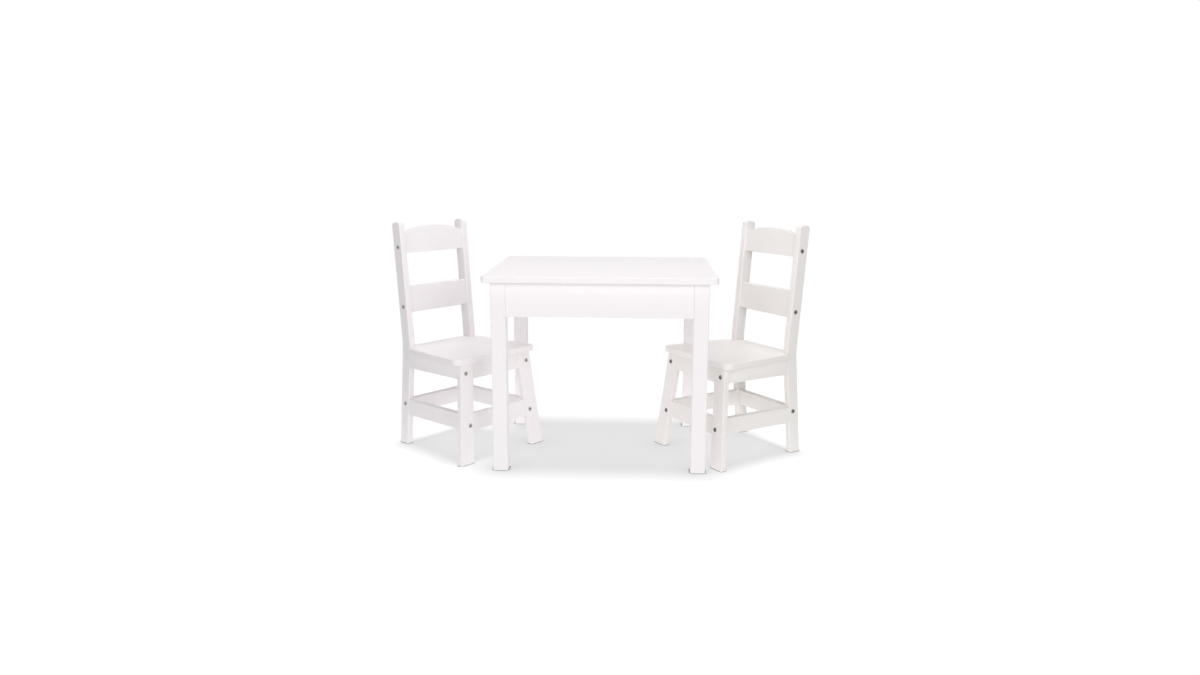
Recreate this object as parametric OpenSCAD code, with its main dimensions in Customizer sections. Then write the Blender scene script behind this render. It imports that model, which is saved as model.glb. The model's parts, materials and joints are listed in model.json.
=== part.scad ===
// Children's table with two chairs, in painted solid wood, bolted together.
// Frame: +Z up, +X along the table's long side, +Y towards its far long side.
// Origin: on the floor, in the middle of the ground that the whole set covers.
// A chair is built facing +X, with the front faces of its posts over X = 0 at the knee.

/* [Table] */
// Height of the table, from the floor to the top surface
table_h = 508; // [440:1:560]
// Length of the top board, along X
top_w = 590; // [540:1:760]
// Depth of the top board, along Y
top_d = 508; // [480:1:640]
// Thickness of the top board
top_t = 16; // [14:0.5:25]
// Radius of the top board's corners in plan
top_corner_r = 10; // [5:0.5:20]
// Side of a square table leg
table_leg = 38; // [34:0.5:46]
// Reach of the top past the legs at its two ends
end_overhang = 21; // [8:0.5:40]
// Reach of the top past the legs at its two long sides
side_overhang = 20; // [8:0.5:40]

/* [Table aprons] */
// Height of an apron board
apron_h = 88; // [76:1:120]
// Thickness of an apron board
apron_t = 16; // [14:0.5:20]
// Depth of the aprons' outer faces behind the legs' outer faces
apron_set = 1; // [0:0.5:4]
// Height of a corner brace
brace_h = 60; // [52:1:72]
// Thickness of a corner brace
brace_t = 18; // [16:0.5:24]
// Gap between a corner brace and the corner of its leg
brace_gap = 3; // [1:0.5:8]

/* [Chair seat] */
// Height of the seat's top surface
seat_h = 281; // [250:1:310]
// Thickness of the seat board
seat_t = 16; // [14:0.5:22]
// Reach of the seat in front of the posts
seat_reach = 225; // [215:1:260]
// Width of the seat where it meets the posts
seat_back_w = 257; // [244:1:280]
// Width of the seat at its front edge
seat_front_w = 295; // [270:1:330]
// Radius of the seat's front corners in plan
seat_corner_r = 21; // [8:0.5:40]
// Depth of the seat's tongue between the posts
seat_tongue = 29; // [20:0.5:33]

/* [Chair posts] */
// Height of the chair
chair_h = 625; // [590:1:680]
// Width over the outer faces of the two posts
chair_w = 240; // [220:1:270]
// Thickness of a post, across the chair
post_t = 18; // [16:0.5:24]
// Depth of a post, front to back
post_d = 33; // [30:0.5:40]
// Height of the knee, where a post bends
knee_h = 285; // [270:1:300]
// Lean of the back from upright, in degrees
back_lean = 4.8; // [2:0.1:8]
// Rake of the posts' feet from upright, in degrees
foot_rake = 5.3; // [2:0.1:8]
// Radius of the bend at the knee, on the front face
knee_r = 216; // [120:1:300]
// Radius of the posts' rounded tops
post_top_r = 9; // [4:0.5:14]

/* [Chair back] */
// Depth of the top rail's lower edge under the tops of the posts
top_rail_drop = 83.5; // [78:0.5:95]
// Height of the top rail at its two ends
top_rail_h = 55; // [50:0.5:60]
// Rise of the top rail's arch over its ends
arch_rise = 17; // [8:0.5:24]
// Distance between the lower edges of the top rail and the middle rail
rail_pitch = 163; // [140:0.5:180]
// Height of the middle rail
mid_rail_h = 73; // [50:0.5:90]
// Thickness of every rail, apron and stretcher of a chair
rail_t = 16; // [14:0.5:18]
// Distance of the rails' middle in front of the posts' middle
rail_fwd = 2.5; // [0:0.5:6]

/* [Chair legs and stretchers] */
// Distance of the front legs' front faces from the posts, under the seat
front_leg_x = 217; // [205:1:230]
// Thickness of a front leg, front to back
front_leg_t = 16; // [14:0.5:22]
// Width of a front leg, across the chair
front_leg_w = 45; // [40:0.5:50]
// Width over the two front legs, under the seat
front_legs_w = 253; // [248:1:270]
// Forward lean of the front legs, in degrees
front_lean = 5.3; // [2:0.1:8]
// Sideways splay of the front legs, in degrees
front_splay = 5.8; // [2:0.1:8]
// Height of the aprons under the seat
seat_apron_h = 42.5; // [38:0.5:55]
// Height of the stretchers' lower edges
stretcher_z = 85.5; // [60:0.5:110]
// Height of a stretcher
stretcher_h = 45; // [38:0.5:55]
// Depth of the side rails' outer faces inside the posts' outer faces
side_set = 0.5; // [0:0.5:2]
// Depth of the front rails' faces behind the front legs' faces
front_set = 1; // [0:0.5:3]

/* [Places of the chairs] */
// Distance of the left chair's knees beyond the end of the tabletop, along X
left_out = 162; // [145:1:400]
// Distance of the left chair from the table's middle, along Y
left_y = 56; // [40:1:80]
// Turn of the left chair towards the front of the set, in degrees
left_turn = 38; // [34:0.5:42]
// Distance of the right chair's knees beyond the end of the tabletop, along X
right_out = 140; // [135:1:400]
// Distance of the right chair from the table's middle, along Y
right_y = 41; // [36:1:80]
// Turn of the right chair towards the front of the set, in degrees
right_turn = 33; // [28:0.5:34]

/* [Edges and fits] */
// Radius of the eased edges of the wooden parts
edge_r = 2.5; // [1:0.25:4]
// Radial clearance round bolts, dowels, inserts and screws
fit = 0.15; // [0.1:0.05:0.2]
// Clearance between two wooden parts that meet, filled by paint or glue
joint_gap = 0.05; // [0.02:0.01:0.2]

/* [Chair fasteners] */
// Diameter of a bolt
bolt_d = 6; // [5:0.5:7]
// Diameter of a bolt's head
head_d = 12; // [10:0.5:13]
// Height of a bolt's head
head_h = 2.6; // [2:0.1:3.5]
// Width of the bevel round a bolt's head
head_bevel = 0.8; // [0.4:0.1:1.2]
// Depth of the seat that a bolt's head lies in
head_seat = 1.4; // [0.6:0.1:1.8]
// Width of the hexagonal socket in a bolt's head, across its corners
socket_d = 5.8; // [4:0.1:7]
// Depth of that socket
socket_h = 1.8; // [1.2:0.1:2.2]
// Length of a bolt inside a rail, beyond the post or leg that it passes
bolt_reach = 26; // [20:1:30]
// Height of the bolts over the lower edge of a back rail or a stretcher
bolt_up = 16; // [14:0.5:18]
// Height of the bolts over the lower edge of an apron
apron_bolt_up = 18; // [15:0.5:22]
// Height of the rear stretcher's bolts over its lower edge
rear_bolt_up = 31; // [29:0.5:33]
// Outer diameter of a threaded insert
insert_d = 10; // [9:0.5:11]
// Length of a threaded insert
insert_l = 14; // [10:0.5:18]
// Diameter of a wooden dowel
dowel_d = 6; // [5:0.5:7]
// Depth of a dowel in each of its two parts
dowel_in = 10; // [8:0.5:12]
// Height of the lower dowels over the lower edge of their rail
dowel_low = 7; // [6:0.5:8]
// Depth of the upper dowels under the upper edge of their rail
dowel_high = 8; // [7:0.5:9]
// Depth of a back rail's dowel under the upper edge of its end
back_dowel_down = 16; // [12:0.5:20]

/* [Screws and table fasteners] */
// Diameter of a wood screw
screw_d = 4; // [3:0.25:4.5]
// Diameter of a wood screw's head
screw_head_d = 8; // [7:0.25:9]
// Height of a wood screw's head
screw_head_h = 2.4; // [1.5:0.1:3]
// Radial clearance for the screwdriver in the bore under a screw's head
driver_gap = 0.6; // [0.4:0.1:1]
// Length of a wood screw inside the seat or the tabletop
screw_bite = 11; // [8:0.5:12]
// Length of a brace's screw inside an apron
brace_screw_bite = 11; // [8:0.5:13]
// Thickness of wood between a screw's head and the part that it pulls
screw_grip = 19; // [15:0.5:24]
// Distance of a chair's seat screws in front of the posts, front pair
seat_screw_front = 150; // [135:1:165]
// The same, rear pair
seat_screw_rear = 60; // [45:1:75]
// Distance between the two screws over each other at a brace's end
brace_screw_pitch = 40; // [34:1:44]
// Distance of a brace's screws from its leg side, along the apron
brace_screw_in = 11; // [9:0.5:13]
// Diameter of a leg's bolts
leg_bolt_d = 6; // [5:0.5:8]
// Distance between the two bolts of a table leg
leg_bolt_pitch = 32; // [26:1:38]
// Depth of those bolts in the leg
leg_bolt_in = 22; // [16:0.5:30]
// Length of thread beyond their nuts
leg_bolt_end = 4; // [2:0.5:10]
// Diameter of a leg bolt's washer
washer_d = 14; // [12:0.5:18]
// Thickness of that washer
washer_t = 1.2; // [0.8:0.1:2]
// Width of a leg bolt's nut, across its corners
nut_d = 11.5; // [10:0.5:12]
// Height of that nut
nut_h = 5; // [4:0.5:6]

/* [Hidden] */
$fn = 48;

paint = [0.957, 0.950, 0.945];
raw_wood = [0.86, 0.76, 0.60];
dark_steel = [0.22, 0.22, 0.24];
zinc = [0.70, 0.71, 0.73];
sides = [-1, 1];
corners = [[-1, -1], [1, -1], [-1, 1], [1, 1]];
// Sizes that only keep the solids clean: a far distance, a length that is cut off again, an overlap
big = 900;
spare = 40;
tiny = 0.01;
// How far a cutter runs past what it cuts
past = 1;
// How much a rounded stretch is wider than the straight one that runs into it
lap = 0.02;
bend_lap = 2;

// ---- shared shapes ----

// Rectangle from the origin with rounded corners
module rounded_rect(size, r) {
  translate([r, 0]) square([size.x - 2 * r, size.y]);
  translate([0, r]) square([size.x, size.y - 2 * r]);
  for (x = [r, size.x - r], y = [r, size.y - r]) translate([x, y]) circle(r);
}

// Stick along +Z with eased long edges, from X = 0 back to -depth, centred on Y
module stick(depth, width, length) {
  translate([-depth, -width / 2, 0])
    linear_extrude(length) rounded_rect([depth, width], edge_r);
}

// Board along Y, centred, from X = 0 back to -thick and from Z = 0 up, with eased long edges
module board(thick, high, long) {
  translate([0, long / 2, 0]) rotate([90, 0, 0])
    linear_extrude(long) translate([-thick, 0]) rounded_rect([thick, high], edge_r);
}

// Round end for a slab's corner, with eased edges. It is wider than the slab's sides by lap.
module round_corner(r, thick) {
  wide = r + lap;
  rotate_extrude() intersection() {
    translate([-wide, 0]) rounded_rect([2 * wide, thick], edge_r - lap);
    square([wide, thick]);
  }
}

// Flat board centred on the origin, from Z = 0 up, with round corners and eased edges
module slab(size, thick, r) {
  translate([size.x / 2, 0, 0]) board(size.x, thick, size.y - 2 * r);
  rotate([0, 0, 90]) translate([size.y / 2, 0, 0]) board(size.y, thick, size.x - 2 * r);
  for (c = corners) translate([c.x * (size.x / 2 - r), c.y * (size.y / 2 - r), 0]) round_corner(r, thick);
}

// Outline in the X and Z directions, made solid over a width centred on Y
module side_profile(points, width) {
  translate([0, width / 2, 0]) rotate([90, 0, 0]) linear_extrude(width) polygon(points);
}

// Everything between the floor and a height
module between_floor_and(z) {
  translate([-big, -big, 0]) cube([2 * big, 2 * big, z]);
}

// Cylinder that starts at X = start and runs along +X
module rod(d, start, length) {
  translate([start, 0, 0]) rotate([0, 90, 0]) cylinder(d = d, h = length);
}

// Bolt pointing along -X, with the underside of its head at X = 0
module bolt(length) {
  difference() {
    union() {
      rod(bolt_d, -length, length + tiny);
      rod(head_d, 0, head_h - head_bevel);
      translate([head_h - head_bevel, 0, 0]) rotate([0, 90, 0])
        cylinder(d1 = head_d, d2 = head_d - 2 * head_bevel, h = head_bevel);
    }
    translate([head_h - socket_h, 0, 0]) rotate([0, 90, 0])
      cylinder(d = socket_d, h = socket_h + past, $fn = 6);
  }
}

// Hole for such a bolt, with a seat for its head
module bolt_hole(length) {
  rod(head_d + 2 * fit, 0, spare);
  rod(bolt_d + 2 * fit, -length - past, length + 2 * past);
}

// Threaded insert round the end of a bolt of the given length
module insert(length) {
  difference() {
    rod(insert_d, -length, insert_l);
    rod(bolt_d + fit, -length - past, insert_l + 2 * past);
  }
}

// Hole that an insert is driven into, from a rail's end that the bolt reaches after the length passed
module insert_hole(length, passed) {
  rod(insert_d + fit, -length - past, length + past - passed);
}

// Wood screw pointing up, with the underside of its head at Z = 0
module wood_screw(length) {
  translate([0, 0, -screw_head_h]) cylinder(d = screw_head_d, h = screw_head_h);
  cylinder(d = screw_d, h = length);
}

// Hole for such a screw, with a bore below its head
module screw_hole(length, below) {
  translate([0, 0, -below]) cylinder(d = screw_head_d + 2 * driver_gap, h = below);
  cylinder(d = screw_d + 2 * fit, h = length + 2 * fit);
}

// ---- table ----

leg_out_x = top_w / 2 - end_overhang;
leg_out_y = top_d / 2 - side_overhang;
top_under = table_h - top_t;
apron_in_x = leg_out_x - apron_set - apron_t;
apron_in_y = leg_out_y - apron_set - apron_t;
// Distance of a leg's inner corner from the inner corner of the aprons, along X or Y
leg_step = table_leg - apron_set - apron_t;
// Where a brace's leg side meets the aprons, and its inner side
brace_near = 2 * leg_step + brace_gap * sqrt(2);
brace_far = brace_near + brace_t * sqrt(2);
brace_mid = (brace_near + brace_far) / 2;
leg_bolt_out = washer_t + nut_h + leg_bolt_end;
brace_z = top_under - brace_h;
leg_bolt_zs = [for (s = sides) brace_z + brace_h / 2 + s * leg_bolt_pitch / 2];
brace_screw_zs = [for (s = sides) brace_z + brace_h / 2 + s * brace_screw_pitch / 2];
brace_screw_at = brace_near + brace_screw_in;
brace_screw_grip = (brace_far - brace_screw_at) / 2;

// The chairs stand clear of the table's ends, so they move out with them
left_x = top_w / 2 + left_out;
right_x = top_w / 2 + right_out;

// The whole set is moved along X until its ends lie as far left as right of the origin
foot_back = tan(foot_rake) * knee_h + post_d / cos(foot_rake);
top_back = tan(back_lean) * (chair_h - knee_h) + post_d / cos(back_lean);
chair_back = max(foot_back, top_back);
left_end = left_x + chair_back * cos(left_turn) + chair_w / 2 * sin(left_turn);
right_end = right_x + chair_back * cos(right_turn) + chair_w / 2 * sin(right_turn);
set_shift = (left_end - right_end) / 2;

module table_place() {
  translate([set_shift, 0, 0]) children();
}

// Place of a table corner: origin at the inner corner of its aprons, +X and +Y pointing inwards
module at_corner(corner) {
  scale_x = -corner.x;
  scale_y = -corner.y;
  translate([corner.x * apron_in_x, corner.y * apron_in_y, 0])
    mirror([scale_x < 0 ? 1 : 0, 0, 0]) mirror([0, scale_y < 0 ? 1 : 0, 0]) children();
}

// Places of a leg's bolts: +X points from the leg into the table, X = 0 at the brace's inner side
module at_leg_bolts() {
  for (z = leg_bolt_zs) translate([brace_far / 2, brace_far / 2, z]) rotate([0, 0, 45]) children();
}

leg_bolt_l = (brace_far - 2 * leg_step) / sqrt(2) + leg_bolt_in;

module leg_bolt_holes() {
  at_leg_bolts() rod(leg_bolt_d + 2 * fit, -leg_bolt_l - fit, leg_bolt_l + leg_bolt_out);
}

// Places of the screws that hold a brace to its two aprons: -X points into an apron
module at_brace_screws() {
  for (z = brace_screw_zs) {
    translate([brace_screw_grip, brace_screw_at, z]) rotate([0, -90, 0]) children();
    translate([brace_screw_at, brace_screw_grip, z]) rotate([90, 0, 0]) children();
  }
}

module brace_screw_holes() {
  at_brace_screws() screw_hole(brace_screw_grip + brace_screw_bite, brace_far);
}

// Places of the screws that hold the top: one in each brace, one in the middle of each apron
module at_top_screws() {
  translate([0, 0, top_under - screw_grip]) {
    for (c = corners) at_corner(c) translate([0.3 * brace_mid, 0.7 * brace_mid, 0]) children();
    for (s = sides) {
      translate([0, s * (apron_in_y + apron_t / 2), 0]) children();
      translate([s * (apron_in_x + apron_t / 2), 0, 0]) children();
    }
  }
}

module top_screw_holes() {
  at_top_screws() screw_hole(screw_grip + screw_bite, apron_h);
}

module tabletop() {
  color(paint) difference() {
    translate([0, 0, top_under]) slab([top_w, top_d], top_t, top_corner_r);
    top_screw_holes();
  }
}

module table_leg(corner) {
  color(paint) at_corner(corner) difference() {
    translate([leg_step, leg_step - table_leg / 2, 0]) stick(table_leg, table_leg, top_under);
    leg_bolt_holes();
  }
}

// Apron along X between two legs, at the front with side -1 and at the back with side 1
module long_apron(side) {
  length = 2 * (leg_out_x - table_leg - joint_gap);
  color(paint) difference() {
    translate([0, side * (apron_in_y + apron_t / 2), top_under - apron_h])
      rotate([0, 0, 90]) translate([apron_t / 2, 0, 0]) board(apron_t, apron_h, length);
    for (c = corners) at_corner(c) brace_screw_holes();
    top_screw_holes();
  }
}

// Apron along Y between two legs, at the left with side -1 and at the right with side 1
module short_apron(side) {
  length = 2 * (leg_out_y - table_leg - joint_gap);
  color(paint) difference() {
    translate([side * (apron_in_x + apron_t / 2) + apron_t / 2, 0, top_under - apron_h])
      board(apron_t, apron_h, length);
    for (c = corners) at_corner(c) brace_screw_holes();
    top_screw_holes();
  }
}

// Block set across the corner behind a leg
module brace(corner) {
  color(raw_wood) difference() {
    at_corner(corner) difference() {
      translate([0, 0, brace_z]) linear_extrude(brace_h)
        polygon([
          [brace_near - joint_gap, joint_gap], [brace_far - joint_gap, joint_gap],
          [joint_gap, brace_far - joint_gap], [joint_gap, brace_near - joint_gap]
        ]);
      leg_bolt_holes();
      brace_screw_holes();
    }
    top_screw_holes();
  }
}

module table_leg_bolts() {
  color(zinc) for (c = corners) at_corner(c) at_leg_bolts()
    rod(leg_bolt_d, -leg_bolt_l, leg_bolt_l + leg_bolt_out);
}

module table_leg_nuts() {
  color(zinc) for (c = corners) at_corner(c) at_leg_bolts() difference() {
    union() {
      rod(washer_d, 0, washer_t);
      translate([washer_t, 0, 0]) rotate([0, 90, 0]) cylinder(d = nut_d, h = nut_h, $fn = 6);
    }
    rod(leg_bolt_d + fit, -past, washer_t + nut_h + 2 * past);
  }
}

module brace_screws() {
  color(zinc) for (c = corners) at_corner(c) at_brace_screws()
    wood_screw(brace_screw_grip + brace_screw_bite);
}

module tabletop_screws() {
  color(zinc) at_top_screws() wood_screw(screw_grip + screw_bite);
}

// ---- chair ----

top_rail_z = chair_h - top_rail_drop;
mid_rail_z = top_rail_z - rail_pitch;
seat_under = seat_h - seat_t;
seat_apron_z = seat_under - seat_apron_h;
post_y = (chair_w - post_t) / 2;
post_in_y = chair_w / 2 - post_t;
rail_end_y = post_in_y - lap - joint_gap;
side_rail_y = chair_w / 2 - side_set - rail_t / 2;
bend = back_lean + foot_rake;
bend_run = knee_r * tan(bend / 2);
// X of the middle of the rails between the posts, measured from the posts' front faces
rail_mid = rail_fwd - post_d / 2;
post_bolt_l = post_t - head_seat + bolt_reach;
leg_bolt_run = front_leg_t - head_seat + bolt_reach;
rear_bolt_l = post_d - head_seat + bolt_reach;
post_head_y = chair_w / 2 - head_seat;

// The planes of the posts above and below the knee: X = 0 on their front faces
module back_plane() {
  translate([0, 0, knee_h]) rotate([0, -back_lean, 0]) children();
}

module foot_plane() {
  translate([0, 0, knee_h]) rotate([0, foot_rake, 0]) children();
}

// The plane of the front legs: X = 0 on their front faces, Z = 0 under the seat
module front_plane() {
  translate([front_leg_x, 0, seat_under]) rotate([0, -front_lean, 0]) children();
}

// Heights above the floor turned into lengths along those planes
function up_back(z) = (z - knee_h) / cos(back_lean);
function up_foot(z) = (z - knee_h) / cos(foot_rake);
function up_front(z) = (z - seat_under) / cos(front_lean);
// X of the posts' front faces and the front legs' rear faces at a height
function post_front(z) = (z - knee_h) * tan(foot_rake);
function leg_rear(z) = front_leg_x + (seat_under - z) * tan(front_lean) - front_leg_t / cos(front_lean);

// Places of the bolts. Each points inwards along -X from its head.
module at_post_bolts() {
  for (s = sides) {
    back_plane() for (z = [top_rail_z, mid_rail_z])
      translate([rail_mid, s * post_head_y, up_back(z) + bolt_up]) rotate([0, 0, s * 90]) children();
    foot_plane() translate([rail_mid, s * post_head_y, up_foot(stretcher_z) + rear_bolt_up])
      rotate([0, 0, s * 90]) children();
  }
}

module at_front_bolts() {
  for (s = sides, z = [seat_apron_z + apron_bolt_up, stretcher_z + bolt_up])
    front_plane() translate([-head_seat, s * side_rail_y, up_front(z)]) children();
}

module at_rear_bolts() {
  for (s = sides, z = [seat_apron_z + apron_bolt_up, stretcher_z + bolt_up])
    foot_plane() translate([head_seat - post_d, s * side_rail_y, up_foot(z)]) rotate([0, 0, 180]) children();
}

module post_bolt_holes() {
  at_post_bolts() bolt_hole(post_bolt_l);
  at_post_bolts() insert_hole(post_bolt_l, post_t - head_seat);
}

module front_bolt_holes() {
  at_front_bolts() bolt_hole(leg_bolt_run);
}

module front_insert_holes() {
  at_front_bolts() insert_hole(leg_bolt_run, front_leg_t - head_seat - past);
}

module rear_bolt_holes() {
  at_rear_bolts() bolt_hole(rear_bolt_l);
}

module rear_insert_holes() {
  at_rear_bolts() insert_hole(rear_bolt_l, post_d - head_seat - past);
}

// Dowels between the posts and their rails, and between the front legs and theirs.
// Each lies along Y, centred on the joint that it crosses.
front_dowel_zs = [
  seat_apron_z + dowel_low, seat_under - dowel_high,
  stretcher_z + dowel_low, stretcher_z + stretcher_h - dowel_high
];
// Y of the front legs' inner edges, at a length along the front plane
function leg_in_y(up) = front_legs_w / 2 - front_leg_w / cos(front_splay) - tan(front_splay) * up;

module at_dowels() {
  for (s = sides) {
    back_plane() {
      translate([rail_mid, s * post_in_y, up_back(top_rail_z) + top_rail_h - back_dowel_down]) children();
      translate([rail_mid, s * post_in_y, up_back(mid_rail_z) + mid_rail_h - back_dowel_down]) children();
    }
    foot_plane() for (z = [seat_apron_z + dowel_low, seat_under - dowel_high])
      translate([rail_mid, s * post_in_y, up_foot(z)]) children();
    front_plane() for (z = front_dowel_zs)
      translate([-(front_leg_t + front_set) / 2, s * leg_in_y(up_front(z)), up_front(z)]) children();
  }
}

module dowel(clear) {
  rotate([90, 0, 0]) cylinder(d = dowel_d + clear, h = 2 * dowel_in + clear, center = true);
}

module dowel_holes() {
  at_dowels() dowel(fit);
}

// Screws through the side aprons into the seat
seat_screw_xs = [seat_screw_rear, seat_screw_front];

module at_seat_screws() {
  for (s = sides, x = seat_screw_xs)
    translate([x, s * side_rail_y, seat_under - screw_grip]) children();
}

module seat_screw_holes() {
  at_seat_screws() screw_hole(screw_grip + screw_bite, seat_apron_h);
}

// Half the width of the seat at a distance in front of the posts
seat_flare = atan((seat_front_w - seat_back_w) / 2 / seat_reach);
function seat_half(x) = seat_back_w / 2 + x * tan(seat_flare);

// Endless board with an eased edge along one side of the seat
module seat_side(side) {
  translate([0, side * seat_back_w / 2, 0])
    rotate([0, 0, side * (90 + seat_flare)]) board(big, seat_t, 2 * big);
}

// Board that widens forwards, with eased edges, round front corners and a tongue between the posts
module seat_board() {
  corner_x = seat_reach - seat_corner_r;
  corner_y = seat_half(corner_x) - seat_corner_r / cos(seat_flare);
  // Where a round corner runs into the side, and the straight cut from there to the front edge
  touch_x = corner_x - seat_corner_r * sin(seat_flare);
  touch_y = corner_y + seat_corner_r * cos(seat_flare);
  cut_slope = (touch_y - corner_y) / (seat_reach - touch_x);
  tongue_y = post_in_y - lap - fit;
  intersection() {
    seat_side(1);
    seat_side(-1);
    translate([seat_reach, 0, 0]) board(big, seat_t, big);
    translate([0, 0, -past]) linear_extrude(seat_t + 2 * past) polygon([
      [fit, touch_y + spare * cut_slope], [touch_x - spare, touch_y + spare * cut_slope],
      [seat_reach + spare, corner_y - spare * cut_slope], [seat_reach + spare, spare * cut_slope - corner_y],
      [touch_x - spare, -touch_y - spare * cut_slope], [fit, -touch_y - spare * cut_slope],
      [fit, -tongue_y], [-seat_tongue, -tongue_y], [-seat_tongue, tongue_y], [fit, tongue_y]
    ]);
  }
  for (s = sides) translate([corner_x, s * corner_y, 0]) round_corner(seat_corner_r, seat_t);
}

module seat() {
  color(paint) difference() {
    translate([0, 0, seat_under]) seat_board();
    seat_screw_holes();
  }
}

// Rear post: a straight foot, a bend at the knee and a straight back with a rounded top.
// The bend is wider than the straight lengths by lap on every side, and they run into it by bend_lap.
module post(side) {
  back_l = up_back(chair_h);
  color(paint) difference() {
    translate([0, side * post_y, 0]) intersection() {
      union() {
        back_plane() {
          difference() {
            translate([0, 0, bend_run - bend_lap]) stick(post_d, post_t, back_l - bend_run + bend_lap);
            translate([0, 0, back_l]) post_top_cut(-1);
            translate([-post_d, 0, back_l]) post_top_cut(1);
          }
          translate([-knee_r, 0, bend_run]) rotate([90, 0, 0]) rotate([0, 0, -bend])
            rotate_extrude(angle = bend, $fn = 96) translate([knee_r - post_d - lap, -post_t / 2 - lap])
              rounded_rect([post_d + 2 * lap, post_t + 2 * lap], edge_r);
        }
        foot_plane() translate([0, 0, -knee_h - spare])
          stick(post_d, post_t, knee_h + spare - bend_run + bend_lap);
      }
      between_floor_and(big);
    }
    post_bolt_holes();
    rear_bolt_holes();
    dowel_holes();
  }
}

// What is cut off a corner of a post's top, to round it towards the given direction along X
module post_top_cut(towards) {
  rotate([90, 0, 0]) linear_extrude(post_t + 2 * past, center = true) difference() {
    translate([min(0, towards * post_top_r), -post_top_r]) square(post_top_r);
    translate([towards * post_top_r, -post_top_r]) circle(post_top_r);
  }
}

// Top rail: straight below, with an arch above that runs from post to post
module top_rail() {
  half = rail_end_y;
  arch_r = (half * half + arch_rise * arch_rise) / (2 * arch_rise);
  color(paint) difference() {
    back_plane() translate([rail_mid + rail_t / 2, 0, up_back(top_rail_z)]) rotate([90, 0, -90])
      linear_extrude(rail_t) intersection() {
        translate([-half, 0]) square([2 * half, top_rail_h + arch_rise]);
        translate([0, top_rail_h + arch_rise - arch_r]) circle(arch_r, $fn = 180);
      }
    post_bolt_holes();
    dowel_holes();
  }
}

module mid_rail() {
  color(paint) difference() {
    back_plane() translate([rail_mid + rail_t / 2, 0, up_back(mid_rail_z)])
      board(rail_t, mid_rail_h, 2 * rail_end_y);
    post_bolt_holes();
    dowel_holes();
  }
}

// Boards between the posts, below the knee
module rear_apron() {
  color(paint) difference() {
    intersection() {
      foot_plane() translate([rail_mid + rail_t / 2, 0, up_foot(seat_apron_z)])
        board(rail_t, seat_apron_h + spare, 2 * rail_end_y);
      between_floor_and(seat_under);
    }
    dowel_holes();
  }
}

module rear_stretcher() {
  color(paint) difference() {
    foot_plane() translate([rail_mid + rail_t / 2, 0, up_foot(stretcher_z)])
      board(rail_t, stretcher_h, 2 * rail_end_y);
    post_bolt_holes();
  }
}

// Plank that leans forwards and splays outwards, cut flat at the floor and under the seat
module front_leg(side) {
  color(paint) difference() {
    intersection() {
      front_plane() mirror([0, side < 0 ? 1 : 0, 0])
        translate([0, front_legs_w / 2 - front_leg_w / 2 / cos(front_splay), 0]) rotate([front_splay, 0, 0])
          translate([0, 0, -seat_under - spare]) stick(front_leg_t, front_leg_w, seat_under + 2 * spare);
      between_floor_and(seat_under);
    }
    front_bolt_holes();
    dowel_holes();
  }
}

// Board between the two front legs, its ends cut to their splay, from one height to another
module front_board(low, high) {
  rise = up_front(high) - up_front(low);
  end_low = leg_in_y(up_front(low)) - joint_gap;
  end_high = leg_in_y(up_front(high) + spare) - joint_gap;
  intersection() {
    front_plane() translate([-front_set, 0, up_front(low)]) intersection() {
      board(rail_t, rise + spare, 2 * end_low);
      translate([tiny, 0, 0]) rotate([90, 0, -90]) linear_extrude(rail_t + 2 * tiny)
        polygon([[-end_low, 0], [end_low, 0], [end_high, rise + spare], [-end_high, rise + spare]]);
    }
    between_floor_and(high);
  }
}

module front_apron() {
  color(paint) difference() {
    front_board(seat_apron_z, seat_under);
    dowel_holes();
  }
}

module front_stretcher() {
  color(paint) difference() {
    front_board(stretcher_z, stretcher_z + stretcher_h);
    dowel_holes();
  }
}

// Board from a post to a front leg, its ends cut to their slopes, from one height to another
module side_board(side, low, high) {
  below = low - spare;
  above = high + spare;
  reach = 2 * front_leg_x;
  color(paint) difference() {
    translate([0, side * side_rail_y, 0]) intersection() {
      translate([front_leg_x / 2, rail_t / 2, low]) rotate([0, 0, 90]) board(rail_t, high - low, reach);
      side_profile([
        [post_front(below) + joint_gap, below], [leg_rear(below) - joint_gap, below],
        [leg_rear(above) - joint_gap, above], [post_front(above) + joint_gap, above]
      ], rail_t + 2 * past);
    }
    front_bolt_holes();
    front_insert_holes();
    rear_bolt_holes();
    rear_insert_holes();
    seat_screw_holes();
  }
}

module side_apron(side) {
  side_board(side, seat_apron_z, seat_under);
}

module side_stretcher(side) {
  side_board(side, stretcher_z, stretcher_z + stretcher_h);
}

module chair_bolts() {
  color(dark_steel) {
    at_post_bolts() bolt(post_bolt_l);
    at_front_bolts() bolt(leg_bolt_run);
    at_rear_bolts() bolt(rear_bolt_l);
  }
}

module chair_inserts() {
  color(zinc) {
    at_post_bolts() insert(post_bolt_l);
    at_front_bolts() insert(leg_bolt_run);
    at_rear_bolts() insert(rear_bolt_l);
  }
}

module chair_dowels() {
  color(raw_wood) at_dowels() dowel(0);
}

module seat_screws() {
  color(zinc) at_seat_screws() wood_screw(screw_grip + screw_bite);
}

module left_chair() {
  translate([set_shift - left_x, left_y, 0]) rotate([0, 0, -left_turn]) children();
}

module right_chair() {
  translate([set_shift + right_x, right_y, 0]) rotate([0, 0, 180 + right_turn]) children();
}

// ---- nodes ----

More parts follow.
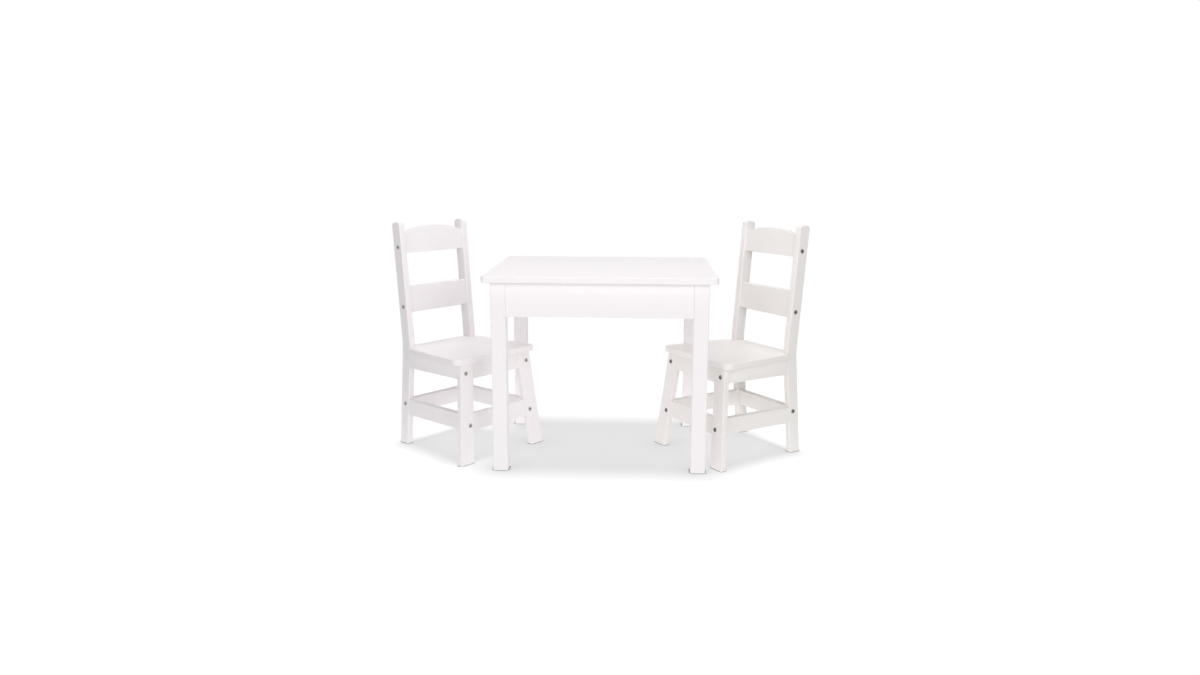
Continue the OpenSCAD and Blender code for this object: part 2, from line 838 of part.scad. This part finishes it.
table_place() tabletop();
table_place() table_leg([-1, -1]);  // table_leg_front_left
table_place() table_leg([1, -1]);  // table_leg_front_right
table_place() table_leg([-1, 1]);  // table_leg_rear_left
table_place() table_leg([1, 1]);  // table_leg_rear_right
table_place() long_apron(-1);  // apron_front
table_place() long_apron(1);  // apron_rear
table_place() short_apron(-1);  // apron_left
table_place() short_apron(1);  // apron_right
table_place() brace([-1, -1]);  // brace_front_left
table_place() brace([1, -1]);  // brace_front_right
table_place() brace([-1, 1]);  // brace_rear_left
table_place() brace([1, 1]);  // brace_rear_right
table_place() table_leg_bolts();
table_place() table_leg_nuts();
table_place() brace_screws();
table_place() tabletop_screws();
left_chair() seat();  // left_chair_seat
left_chair() post(1);  // left_chair_left_post
left_chair() post(-1);  // left_chair_right_post
left_chair() top_rail();  // left_chair_top_rail
left_chair() mid_rail();  // left_chair_mid_rail
left_chair() front_leg(1);  // left_chair_left_front_leg
left_chair() front_leg(-1);  // left_chair_right_front_leg
left_chair() front_apron();  // left_chair_front_apron
left_chair() rear_apron();  // left_chair_rear_apron
left_chair() side_apron(1);  // left_chair_left_apron
left_chair() side_apron(-1);  // left_chair_right_apron
left_chair() front_stretcher();  // left_chair_front_stretcher
left_chair() rear_stretcher();  // left_chair_rear_stretcher
left_chair() side_stretcher(1);  // left_chair_left_stretcher
left_chair() side_stretcher(-1);  // left_chair_right_stretcher
left_chair() chair_bolts();  // left_chair_bolts
left_chair() chair_inserts();  // left_chair_inserts
left_chair() chair_dowels();  // left_chair_dowels
left_chair() seat_screws();  // left_chair_seat_screws
right_chair() seat();  // right_chair_seat
right_chair() post(1);  // right_chair_left_post
right_chair() post(-1);  // right_chair_right_post
right_chair() top_rail();  // right_chair_top_rail
right_chair() mid_rail();  // right_chair_mid_rail
right_chair() front_leg(1);  // right_chair_left_front_leg
right_chair() front_leg(-1);  // right_chair_right_front_leg
right_chair() front_apron();  // right_chair_front_apron
right_chair() rear_apron();  // right_chair_rear_apron
right_chair() side_apron(1);  // right_chair_left_apron
right_chair() side_apron(-1);  // right_chair_right_apron
right_chair() front_stretcher();  // right_chair_front_stretcher
right_chair() rear_stretcher();  // right_chair_rear_stretcher
right_chair() side_stretcher(1);  // right_chair_left_stretcher
right_chair() side_stretcher(-1);  // right_chair_right_stretcher
right_chair() chair_bolts();  // right_chair_bolts
right_chair() chair_inserts();  // right_chair_inserts
right_chair() chair_dowels();  // right_chair_dowels
right_chair() seat_screws();  // right_chair_seat_screws
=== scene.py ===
import json
import math

import bmesh
import bpy
from mathutils import Matrix, Vector

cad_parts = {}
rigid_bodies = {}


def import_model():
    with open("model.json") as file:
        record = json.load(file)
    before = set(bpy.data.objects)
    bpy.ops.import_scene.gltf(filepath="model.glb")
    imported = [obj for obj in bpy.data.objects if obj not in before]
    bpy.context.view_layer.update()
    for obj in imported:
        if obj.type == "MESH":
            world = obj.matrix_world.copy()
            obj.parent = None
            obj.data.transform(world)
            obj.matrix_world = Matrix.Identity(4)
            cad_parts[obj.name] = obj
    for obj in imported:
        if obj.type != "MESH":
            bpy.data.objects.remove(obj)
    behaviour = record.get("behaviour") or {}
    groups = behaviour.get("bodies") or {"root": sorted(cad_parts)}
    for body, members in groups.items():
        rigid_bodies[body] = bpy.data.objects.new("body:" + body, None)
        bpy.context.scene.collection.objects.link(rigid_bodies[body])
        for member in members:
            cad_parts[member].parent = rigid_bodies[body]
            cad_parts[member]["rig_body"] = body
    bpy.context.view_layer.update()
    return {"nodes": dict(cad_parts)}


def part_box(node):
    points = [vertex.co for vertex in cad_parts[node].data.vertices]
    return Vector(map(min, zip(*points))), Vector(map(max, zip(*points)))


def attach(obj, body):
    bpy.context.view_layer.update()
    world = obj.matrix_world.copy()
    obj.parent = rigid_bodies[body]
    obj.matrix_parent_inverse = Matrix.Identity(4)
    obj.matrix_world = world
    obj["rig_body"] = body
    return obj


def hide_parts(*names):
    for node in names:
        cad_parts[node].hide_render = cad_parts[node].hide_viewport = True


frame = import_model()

# ---- Camera ----
# The viewer stands about 2.2 m in front of the table, a little to the right of its middle,
# with the eye above the tabletop, and looks slightly down.

camera_right, camera_back, camera_height = 0.0923, 2.4765, 0.7848
camera_heading = math.radians(2.309)
camera_down = math.radians(10.860)
camera_roll = math.radians(0.214)

table_low, table_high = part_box("tabletop")
table_middle = (table_low + table_high) / 2
camera_place = Vector((
    table_middle.x + camera_right, table_middle.y - camera_back, camera_height))
lens = bpy.data.cameras.new("camera")
lens.sensor_width = 36
lens.lens = 27.273
camera = bpy.data.objects.new("camera", lens)
camera.matrix_world = (
    Matrix.Translation(camera_place)
    @ Matrix.Rotation(camera_heading, 4, "Z")
    @ Matrix.Rotation(math.pi / 2 - camera_down, 4, "X")
    @ Matrix.Rotation(camera_roll, 4, "Z")
)
bpy.context.scene.collection.objects.link(camera)
bpy.context.scene.camera = camera
bpy.context.scene.view_settings.view_transform = "Standard"


# ---- Floor and light ----
# A white studio floor that runs out into a white background and keeps the soft shadows.
# One softbox hangs over the table and two stand before it. A round lamp high up lights the
# floor alone, and the room and a glow of the floor give an even light.

class Value:
    """A socket's value in a finish. Sums with it add Math nodes to that finish."""

    def __init__(self, finish, socket):
        self.finish = finish
        self.socket = socket

    def math(self, operation, first, second=0.0):
        return self.finish.node("ShaderNodeMath", {"operation": operation}, {0: first, 1: second})

    def __add__(self, other):
        return self.math("ADD", self, other)

    __radd__ = __add__

    def __mul__(self, other):
        return self.math("MULTIPLY", self, other)

    __rmul__ = __mul__

    def __sub__(self, other):
        return self.math("SUBTRACT", self, other)

    def __rsub__(self, other):
        return self.math("SUBTRACT", other, self)

    def clipped(self):
        return self.finish.node("ShaderNodeClamp", {}, {0: self})

    def size(self):
        return self.math("ABSOLUTE", self)


class Finish:
    """The node tree of a material or of the world, empty at first."""

    def __init__(self, owner):
        self.owner = owner
        owner.use_nodes = True
        self.tree = owner.node_tree
        self.tree.nodes.clear()

    def node(self, kind, settings, inputs, output=0):
        """Adds a node, sets it up, feeds its sockets and gives one of its outputs."""
        made = self.tree.nodes.new(kind)
        for name, setting in settings.items():
            if name == "stops":
                for stop, (place, colour) in zip(made.color_ramp.elements, setting):
                    stop.position = place
                    stop.color = rgba(colour)
            else:
                setattr(made, name, setting)
        for name, value in inputs.items():
            if isinstance(value, Value):
                self.tree.links.new(value.socket, made.inputs[name])
            else:
                made.inputs[name].default_value = value
        return Value(self, made.outputs[output]) if made.outputs else None

    def noise(self, place, scale, detail, roughness):
        settings = {"Vector": place, "Scale": scale, "Detail": detail, "Roughness": roughness}
        return self.node("ShaderNodeTexNoise", {}, settings)

    def step(self, value, low, high):
        """Goes smoothly from 0 to 1 while the value goes from low to high."""
        limits = {"Value": value, "From Min": low, "From Max": high}
        return self.node("ShaderNodeMapRange", {"interpolation_type": "SMOOTHSTEP"}, limits)

    def ray(self, name):
        return self.node("ShaderNodeLightPath", {}, {}, name)

    def looked_at(self):
        """1 for what is seen, straight or in gloss or glass, and 0 for what only gives light."""
        seen = self.ray("Is Camera Ray") + self.ray("Is Glossy Ray")
        return (seen + self.ray("Is Transmission Ray")).clipped()

    def glow(self, strength):
        settings = {"Color": rgba((1, 1, 1)), "Strength": strength}
        return self.node("ShaderNodeEmission", {}, settings)


def rgba(colour):
    return (*colour, 1)


# The room: light walls before and behind, greyer side walls, and a ceiling left to the lamps
front_wall = 0.80
side_wall = 0.36
front_from, front_full = 0.5, 0.9
ceiling_from, ceiling_full = 0.6, 0.8

bpy.context.scene.world = bpy.data.worlds.new("room")
room = Finish(bpy.context.scene.world)
way = room.node("ShaderNodeTexCoord", {}, {}, "Generated")
depth, height = (room.node("ShaderNodeSeparateXYZ", {}, {0: way}, axis) for axis in "YZ")
front = room.step(depth.size(), front_from, front_full)
walls = front * (front_wall - side_wall) + side_wall
below_ceiling = 1 - room.step(height, ceiling_from, ceiling_full)
seen = room.looked_at()
backdrop = room.node("ShaderNodeBackground", {}, {
    "Color": rgba((1, 1, 1)), "Strength": seen + walls * below_ceiling * (1 - seen)})
room.node("ShaderNodeOutputWorld", {}, {"Surface": backdrop})

# The floor as it is seen: grey paint with a glow, with painted shade in its gaps and a painted
# contact shadow where a foot touches it, which runs out into plain white
floor_size = 12
floor_colour = (0.12, 0.12, 0.12)
floor_glow = 0.723
gap_reach, gap_glow = 0.09, 0.7
touch_reach, touch_glow = 0.007, 0.16
touch_from, touch_end = 0.45, 0.95
white_from, white_full = 0.9, 2.0

shape = bmesh.new()
bmesh.ops.create_grid(shape, x_segments=8, y_segments=8, size=floor_size)
floor_mesh = bpy.data.meshes.new("floor")
shape.to_mesh(floor_mesh)
shape.free()
floor = bpy.data.objects.new("floor", floor_mesh)
bpy.context.scene.collection.objects.link(floor)

studio = Finish(bpy.data.materials.new("studio_floor"))
place = studio.node("ShaderNodeTexCoord", {}, {}, "Object")
away = studio.node("ShaderNodeVectorMath", {"operation": "LENGTH"}, {0: place}, "Value")
across, depth = (studio.node("ShaderNodeSeparateXYZ", {}, {0: place}, axis) for axis in "XY")
clear_of_gaps, clear_of_feet = (
    studio.node("ShaderNodeAmbientOcclusion", {"samples": 6}, {"Distance": reach}, "AO")
    for reach in (gap_reach, touch_reach)
)
paint = studio.node("ShaderNodeBsdfDiffuse", {}, {"Color": rgba(floor_colour)})
# Painted shade: the glow is weaker where the pieces above close the floor in
glow = studio.glow((clear_of_gaps * (1 - gap_glow) + gap_glow) * floor_glow)
lit = studio.node("ShaderNodeAddShader", {}, {0: paint, 1: glow})
# Painted contact shadow: the floor turns dark where a foot stands on it
untouched = studio.step(clear_of_feet, touch_from, touch_end)
near = studio.node("ShaderNodeMixShader", {}, {0: untouched, 1: studio.glow(touch_glow), 2: lit})
far = studio.step(away, white_from, white_full)
view = studio.node("ShaderNodeMixShader", {}, {0: far, 1: near, 2: studio.glow(1.0)})

# The floor's glow onto the pieces: less light beside the set, and painted shade under the seats
floor_bounce = 1.04
side_bounce = 0.28
side_from, side_full = 0.7, 1.0
side_blend = 0.1
seat_shade = 0.12
seat_across = 0.367
shade_full, shade_end = 0.08, 0.2

sideways = studio.step(across.size() - depth.size(), -side_blend, side_blend)
beside = studio.step(away, side_from, side_full) * sideways
seat_way = studio.node("ShaderNodeCombineXYZ", {}, {0: across.size() - seat_across, 1: depth})
from_seat = studio.node("ShaderNodeVectorMath", {"operation": "LENGTH"}, {0: seat_way}, "Value")
# Painted shade: the floor glows a little less under each seat
under_seat = 1 - studio.step(from_seat, shade_full, shade_end)
bounce = studio.glow(
    floor_bounce - beside * (floor_bounce - side_bounce) - under_seat * seat_shade)
surface = studio.node("ShaderNodeMixShader", {}, {0: studio.looked_at(), 1: bounce, 2: view})
studio.node("ShaderNodeOutputMaterial", {}, {"Surface": surface})
floor_mesh.materials.append(studio.owner)

# The lamps: the chairs don't shade the table, and a part of the chairs' light passes the table
past_table = 0.25
aim_height = 0.3
floor_lamp_width = 2.0
floor_lamp_height = 7
floor_lamp_power = 1370

lit_middle = Vector((table_middle.x, table_middle.y, aim_height))
table_alone = bpy.data.collections.new("table")
chairs_alone = bpy.data.collections.new("chairs")
floor_alone = bpy.data.collections.new("floor")
floor_alone.objects.link(floor)
shades_floor = bpy.data.collections.new("shades_floor")


def lamp(name, shape, size, stand_at, power, lights, shaded_by):
    """Lamp out of sight that lights one group of pieces, shaded by one group or by them all."""
    light = bpy.data.lights.new(name, "AREA")
    light.shape = shape
    light.size, light.size_y = size
    light.energy = power
    stand = bpy.data.objects.new(name, light)
    stand.matrix_world = stand_at
    stand.visible_camera = False
    stand.visible_glossy = False
    stand.light_linking.receiver_collection = lights
    stand.light_linking.blocker_collection = shaded_by
    bpy.context.scene.collection.objects.link(stand)


def softbox(name, place, size, table_power, chair_power):
    """Softbox turned towards the set, with a power of its own for the table and the chairs."""
    aim = (lit_middle - Vector(place)).to_track_quat("-Z", "Y")
    stand_at = Matrix.Translation(place) @ aim.to_matrix().to_4x4()
    for part, power, lights, shaded_by in (
        ("table", table_power, table_alone, table_alone),
        ("chairs", chair_power * (1 - past_table), chairs_alone, None),
        ("chairs_past_table", chair_power * past_table, chairs_alone, chairs_alone),
    ):
        lamp(f"{name}_{part}", "RECTANGLE", size, stand_at, power, lights, shaded_by)


softbox("overhead_lamp", (0.0, -0.15, 2.3), (1.7, 1.0), table_power=24.8, chair_power=24.4)
softbox("front_right_lamp", (0.9, -1.6, 1.05), (0.6, 0.6), table_power=6.6, chair_power=7.0)
softbox("front_left_lamp", (-0.9, -1.6, 1.05), (0.6, 0.6), table_power=5.65, chair_power=4.6)
lamp("floor_lamp", "DISK", (floor_lamp_width, floor_lamp_width),
     Matrix.Translation((0, 0, floor_lamp_height)), floor_lamp_power, floor_alone, shades_floor)


# ---- Table legs ----
# Four square sticks of pine, planed and sanded round at the edges, and sprayed white with the
# rest of the table. Each stands between the ends of two aprons, drawn tight against them by
# its bolts.

corners = ("front_left", "front_right", "rear_left", "rear_right")

# The wood: its sanded edges, and what tells a cut edge from a flat face and from a hole's rim
sanded = 0.0012
same_point = 0.00005
flat_angle = math.radians(0.2)
cut_angle = math.radians(40)
sharp_angle = math.radians(50)
hole_width = 0.018

# The paint: its colour and grain, and how much its tone, surface and gloss vary
table_white = (0.895, 0.855, 0.870)
grain_along, grain_across = 5, 170
paint_mottle = 0.016
paint_relief, grain_relief = 0.00016, 0.6
satin, cloud_satin, stipple_satin = 0.36, 0.1, 0.08


def light_with(piece, node):
    """Puts a piece under the lamps of the table or of the chairs."""
    (chairs_alone if "chair" in node else table_alone).objects.link(piece)


def eased(node, radius):
    """Copy of a wooden piece with its cut edges rounded by the sanding, which stands for it."""
    wood = bmesh.new()
    wood.from_mesh(frame["nodes"][node].data)
    bmesh.ops.remove_doubles(wood, verts=wood.verts, dist=same_point)
    bmesh.ops.dissolve_limit(wood, angle_limit=flat_angle, verts=wood.verts, edges=wood.edges)
    waiting = {edge for edge in wood.edges
               if edge.is_manifold and edge.calc_face_angle() > cut_angle}
    cut_edges = []
    while waiting:
        # Edges that meet are one group, and a group no wider than a hole's rim stays sharp
        group = [waiting.pop()]
        for edge in group:
            met = {other for end in edge.verts for other in end.link_edges} & waiting
            waiting -= met
            group.extend(met)
        points = [end.co for edge in group for end in edge.verts]
        if max((point - points[0]).length for point in points) > hole_width:
            cut_edges.extend(group)
    bmesh.ops.bevel(wood, geom=cut_edges, offset=radius, offset_type="OFFSET", segments=3,
                    profile=0.5, affect="EDGES", material=-1, clamp_overlap=True)
    mesh = bpy.data.meshes.new(node + "_wood")
    wood.to_mesh(mesh)
    wood.free()
    mesh.shade_smooth()
    mesh.set_sharp_from_angle(angle=sharp_angle)
    piece = bpy.data.objects.new(node + "_wood", mesh)
    bpy.context.scene.collection.objects.link(piece)
    light_with(piece, node)
    # The back rails leave no shadow on the floor
    if not node.endswith("rail"):
        shades_floor.objects.link(piece)
    soften = piece.modifiers.new("soften", "WEIGHTED_NORMAL")
    soften.keep_sharp = True
    soften.weight = 100
    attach(piece, frame["nodes"][node]["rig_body"])
    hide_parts(node)
    return piece


def satin_paint(name, colour, along, turn=0):
    """Sprayed satin paint, with a faint grain of the pine along X, Y or Z of a turned piece."""
    finish = Finish(bpy.data.materials.new(name))
    spot = finish.node("ShaderNodeTexCoord", {}, {}, "Object")
    straight = finish.node("ShaderNodeMapping", {}, {
        "Vector": spot, "Rotation": (0, 0, -math.radians(turn))})
    stretch = [grain_along if axis == along else grain_across for axis in "XYZ"]
    drawn = finish.node("ShaderNodeMapping", {}, {"Vector": straight, "Scale": stretch})
    grain = finish.noise(drawn, scale=1.0, detail=3.0, roughness=0.6)
    stipple = finish.noise(spot, scale=900.0, detail=2.0, roughness=0.5)
    clouds = finish.noise(spot, scale=9.0, detail=2.0, roughness=0.5)
    shade = 1 + (clouds - 0.5) * paint_mottle + (grain - 0.5) * paint_mottle
    tone = finish.node("ShaderNodeVectorMath", {"operation": "SCALE"}, {
        0: colour, "Scale": shade})
    relief = grain * grain_relief + stipple * (1 - grain_relief)
    bumps = finish.node("ShaderNodeBump", {}, {
        "Height": relief, "Strength": 0.4, "Distance": paint_relief})
    look = finish.node("ShaderNodeBsdfPrincipled", {}, {
        "Base Color": tone, "Roughness": satin + clouds * cloud_satin + stipple * stipple_satin,
        "Normal": bumps, "Specular IOR Level": 0.45})
    finish.node("ShaderNodeOutputMaterial", {}, {"Surface": look})
    return finish.owner


def dress(piece, material):
    """Gives a piece its one material."""
    piece.data.materials.clear()
    piece.data.materials.append(material)


table_paint = {
    along: satin_paint("table_paint_" + along.lower(), table_white, along) for along in "XYZ"
}
for corner in corners:
    dress(eased("table_leg_" + corner, sanded), table_paint["Z"])

# ---- Table aprons ----
# Four pine boards on edge between the legs, set back a little from their faces.
# They carry the tabletop and keep the legs upright, and are painted with them.

for side, along in {"front": "X", "rear": "X", "left": "Y", "right": "Y"}.items():
    dress(eased("apron_" + side, sanded / 2), table_paint[along])

# ---- Corner braces ----
# A block of bare pine across each inner corner of the frame, sawn at 45 degrees and never
# painted. Four screws hold it to the two aprons, and the leg is bolted to it.

# The wood: its pale and dark bands, and what the bands and the fuzz each give to its looks
pine_pale = (0.80, 0.63, 0.42)
pine_dark = (0.66, 0.45, 0.25)
pale_to, dark_from = 0.15, 0.9
ring_sway = 5.0
ring_tone, ring_relief = 0.75, 0.4
sawn, fuzz_sawn = 0.62, 0.2
brace_turn = {"front_left": -45, "front_right": 45, "rear_left": 45, "rear_right": -45}


def raw_pine(name, turn):
    """Sawn pine along a piece turned in plan: pale and dark bands of wood, with saw fuzz."""
    finish = Finish(bpy.data.materials.new(name))
    spot = finish.node("ShaderNodeTexCoord", {}, {}, "Object")
    straight = finish.node("ShaderNodeMapping", {}, {
        "Vector": spot, "Rotation": (0, 0, -math.radians(turn))})
    drawn = finish.node("ShaderNodeMapping", {}, {"Vector": straight, "Scale": (6, 60, 60)})
    sway = finish.noise(drawn, scale=1.0, detail=2.0, roughness=0.5)
    rings = finish.node("ShaderNodeTexWave", {"wave_type": "BANDS", "bands_direction": "Y"}, {
        "Vector": straight, "Scale": 75.0, "Distortion": sway * ring_sway, "Detail": 1.0}, "Fac")
    fuzz = finish.noise(straight, scale=700.0, detail=3.0, roughness=0.7)
    stops = {"stops": ((pale_to, pine_pale), (dark_from, pine_dark))}
    tone = finish.node("ShaderNodeValToRGB", stops, {
        0: rings * ring_tone + fuzz * (1 - ring_tone)}, "Color")
    relief = rings * ring_relief + fuzz * (1 - ring_relief)
    bumps = finish.node("ShaderNodeBump", {}, {
        "Height": relief, "Strength": 0.5, "Distance": 0.0002})
    look = finish.node("ShaderNodeBsdfPrincipled", {}, {
        "Base Color": tone, "Roughness": sawn + fuzz * fuzz_sawn,
        "Normal": bumps, "Specular IOR Level": 0.3})
    finish.node("ShaderNodeOutputMaterial", {}, {"Surface": look})
    return finish.owner


brace_pine = {turn: raw_pine(f"brace_pine_{number}", turn) for number, turn in enumerate((45, -45))}
for corner in corners:
    dress(eased("brace_" + corner, sanded / 2), brace_pine[brace_turn[corner]])

# ---- Leg bolts, nuts and brace screws ----
# Two bolts screwed into the inner edge of each leg, with a washer and nut on the brace.
# They and the wood screws beside them are bright zinc-plated steel.

cloud_matt = 0.16
# How far the painted shade in a bolt's socket reaches, and over what it fades out
socket_reach = 0.003
socket_from, socket_end = 0.7, 1.0
# The Mix node's sockets for colours: the share, the two colours, and the output
share, first, second, mixed = 0, 6, 7, 2


def plated_steel(name, colour, roughness, wear, metal=1.0, hollow_shade=None):
    """Plated steel with a fine grain and a few duller spots, and painted shade in its hollows if
    given.
    """
    finish = Finish(bpy.data.materials.new(name))
    spot = finish.node("ShaderNodeTexCoord", {}, {}, "Object")
    clouds = finish.noise(spot, scale=160.0, detail=3.0, roughness=0.6)
    grain = finish.noise(spot, scale=2200.0, detail=2.0, roughness=0.5)
    shade = 1 + (clouds - 0.5) * wear + (grain - 0.5) * wear
    plain = rgba(colour)
    if hollow_shade:
        # Painted shade: a hollow turns dark where little light reaches it, such as a bolt's socket
        clear = finish.node("ShaderNodeAmbientOcclusion", {"samples": 4, "only_local": True}, {
            "Distance": socket_reach}, "AO")
        out_of_socket = finish.step(clear, socket_from, socket_end)
        plain = finish.node("ShaderNodeMix", {"data_type": "RGBA"}, {
            share: out_of_socket, first: rgba(hollow_shade), second: rgba(colour)}, mixed)
    shades = finish.node("ShaderNodeCombineXYZ", {}, {0: shade, 1: shade, 2: shade})
    multiply = {"data_type": "RGBA", "blend_type": "MULTIPLY", "clamp_result": False}
    tone = finish.node("ShaderNodeMix", multiply, {share: 1.0, first: plain, second: shades}, mixed)
    bumps = finish.node("ShaderNodeBump", {}, {
        "Height": grain, "Strength": 0.3, "Distance": 0.00004})
    look = finish.node("ShaderNodeBsdfPrincipled", {}, {
        "Base Color": tone, "Metallic": metal, "Roughness": clouds * cloud_matt + roughness,
        "Normal": bumps})
    finish.node("ShaderNodeOutputMaterial", {}, {"Surface": look})
    return finish.owner


def plate(node, material):
    """Gives a steel part, or a dowel, its finish and its light."""
    light_with(frame["nodes"][node], node)
    for slot in frame["nodes"][node].material_slots:
        slot.material = material


zinc = plated_steel("zinc_plating", (0.60, 0.61, 0.63), roughness=0.24, wear=0.25)
for node in ("table_leg_bolts", "table_leg_nuts", "brace_screws"):
    plate(node, zinc)

# ---- Tabletop ----
# A flat board with round corners and sanded edges, painted white.
# Screws through the aprons and the braces hold it from below.

dress(eased("tabletop", sanded), table_paint["X"])
plate("tabletop_screws", zinc)

# ---- Chair posts ----
# Each chair has two rear posts, each sawn in one piece: a foot that rakes back below the seat, a
# bend, and a straight back with a rounded top. The two chairs are alike, one at each end of the
# table, and stand turned towards its front. The right one's paint is a little warmer and darker,
# which is painted shade: the same white, toned for the dimmer and warmer light on that chair.

# The same white paint on both chairs, toned warmer and darker on the right one as painted shade
chair_look = {"left": ((0.905, 0.868, 0.878), -38), "right": ((0.892, 0.863, 0.839), 213)}
chair_paint = {
    (chair, along): satin_paint(f"{chair}_chair_paint_{along.lower()}", colour, along, turn)
    for chair, (colour, turn) in chair_look.items() for along in "XYZ"
}


def paint_chairs(names, along):
    """Eases and paints pieces of both chairs, with the grain along the chair's X, Y or Z."""
    for chair in chair_look:
        for name in names:
            piece = eased(f"{chair}_chair_{name}", sanded)
            dress(piece, chair_paint[chair, along])


paint_chairs(("left_post", "right_post"), "Z")

# ---- Chair back rails ----
# Two boards between the posts, set in from their faces, the top one with an arched upper edge.
# A bolt through the post and a dowel beside it hold each end.

paint_chairs(("top_rail", "mid_rail"), "Y")

# ---- Chair front legs ----
# Two flat sticks of pine, painted with the rest, that lean forwards and splay outwards, one
# under each front corner of the seat. Bolts through them run into the side boards.

paint_chairs(("left_front_leg", "right_front_leg"), "Z")

# ---- Seat aprons ----
# Four boards on edge under the seat. The side ones are bolted between the front legs and the
# posts, and the front and rear ones are dowelled to them.

paint_chairs(("front_apron", "rear_apron"), "Y")
paint_chairs(("left_apron", "right_apron"), "X")

# ---- Stretchers ----
# Four boards on edge low between the legs, which keep the feet apart.
# The side and rear ones are bolted, and the front one is dowelled to its legs.

paint_chairs(("front_stretcher", "rear_stretcher"), "Y")
paint_chairs(("left_stretcher", "right_stretcher"), "X")

# ---- Seats ----
# A board wider at the front, with round front corners and a tongue that fits between the posts.
# Four screws hold it from below, through the side aprons.

paint_chairs(("seat",), "X")
for chair in chair_look:
    plate(chair + "_chair_seat_screws", zinc)

# ---- Chair bolts, inserts and dowels ----
# Steel bolts with a low round head and a hex socket run through a leg or a post into a threaded
# insert in the end of a board. Beech dowels keep the back rails from turning beside their bolts,
# and hold the boards that have no bolts.

# The bolts are the same on both chairs: the right one's heads and sockets are darker as painted
# shade, and the dark in each socket is painted shade in its hollow
head_steel = {"left": (0.50, 0.49, 0.48), "right": (0.24, 0.23, 0.22)}
socket_shade = {"left": (0.08, 0.08, 0.08), "right": (0.02, 0.02, 0.02)}
beech = raw_pine("dowel_wood", 0)
for chair, colour in head_steel.items():
    heads = plated_steel(chair + "_bolt_steel", colour, roughness=0.3, wear=0.3, metal=0.3,
                         hollow_shade=socket_shade[chair])
    plate(chair + "_chair_bolts", heads)
    plate(chair + "_chair_inserts", zinc)
    plate(chair + "_chair_dowels", beech)
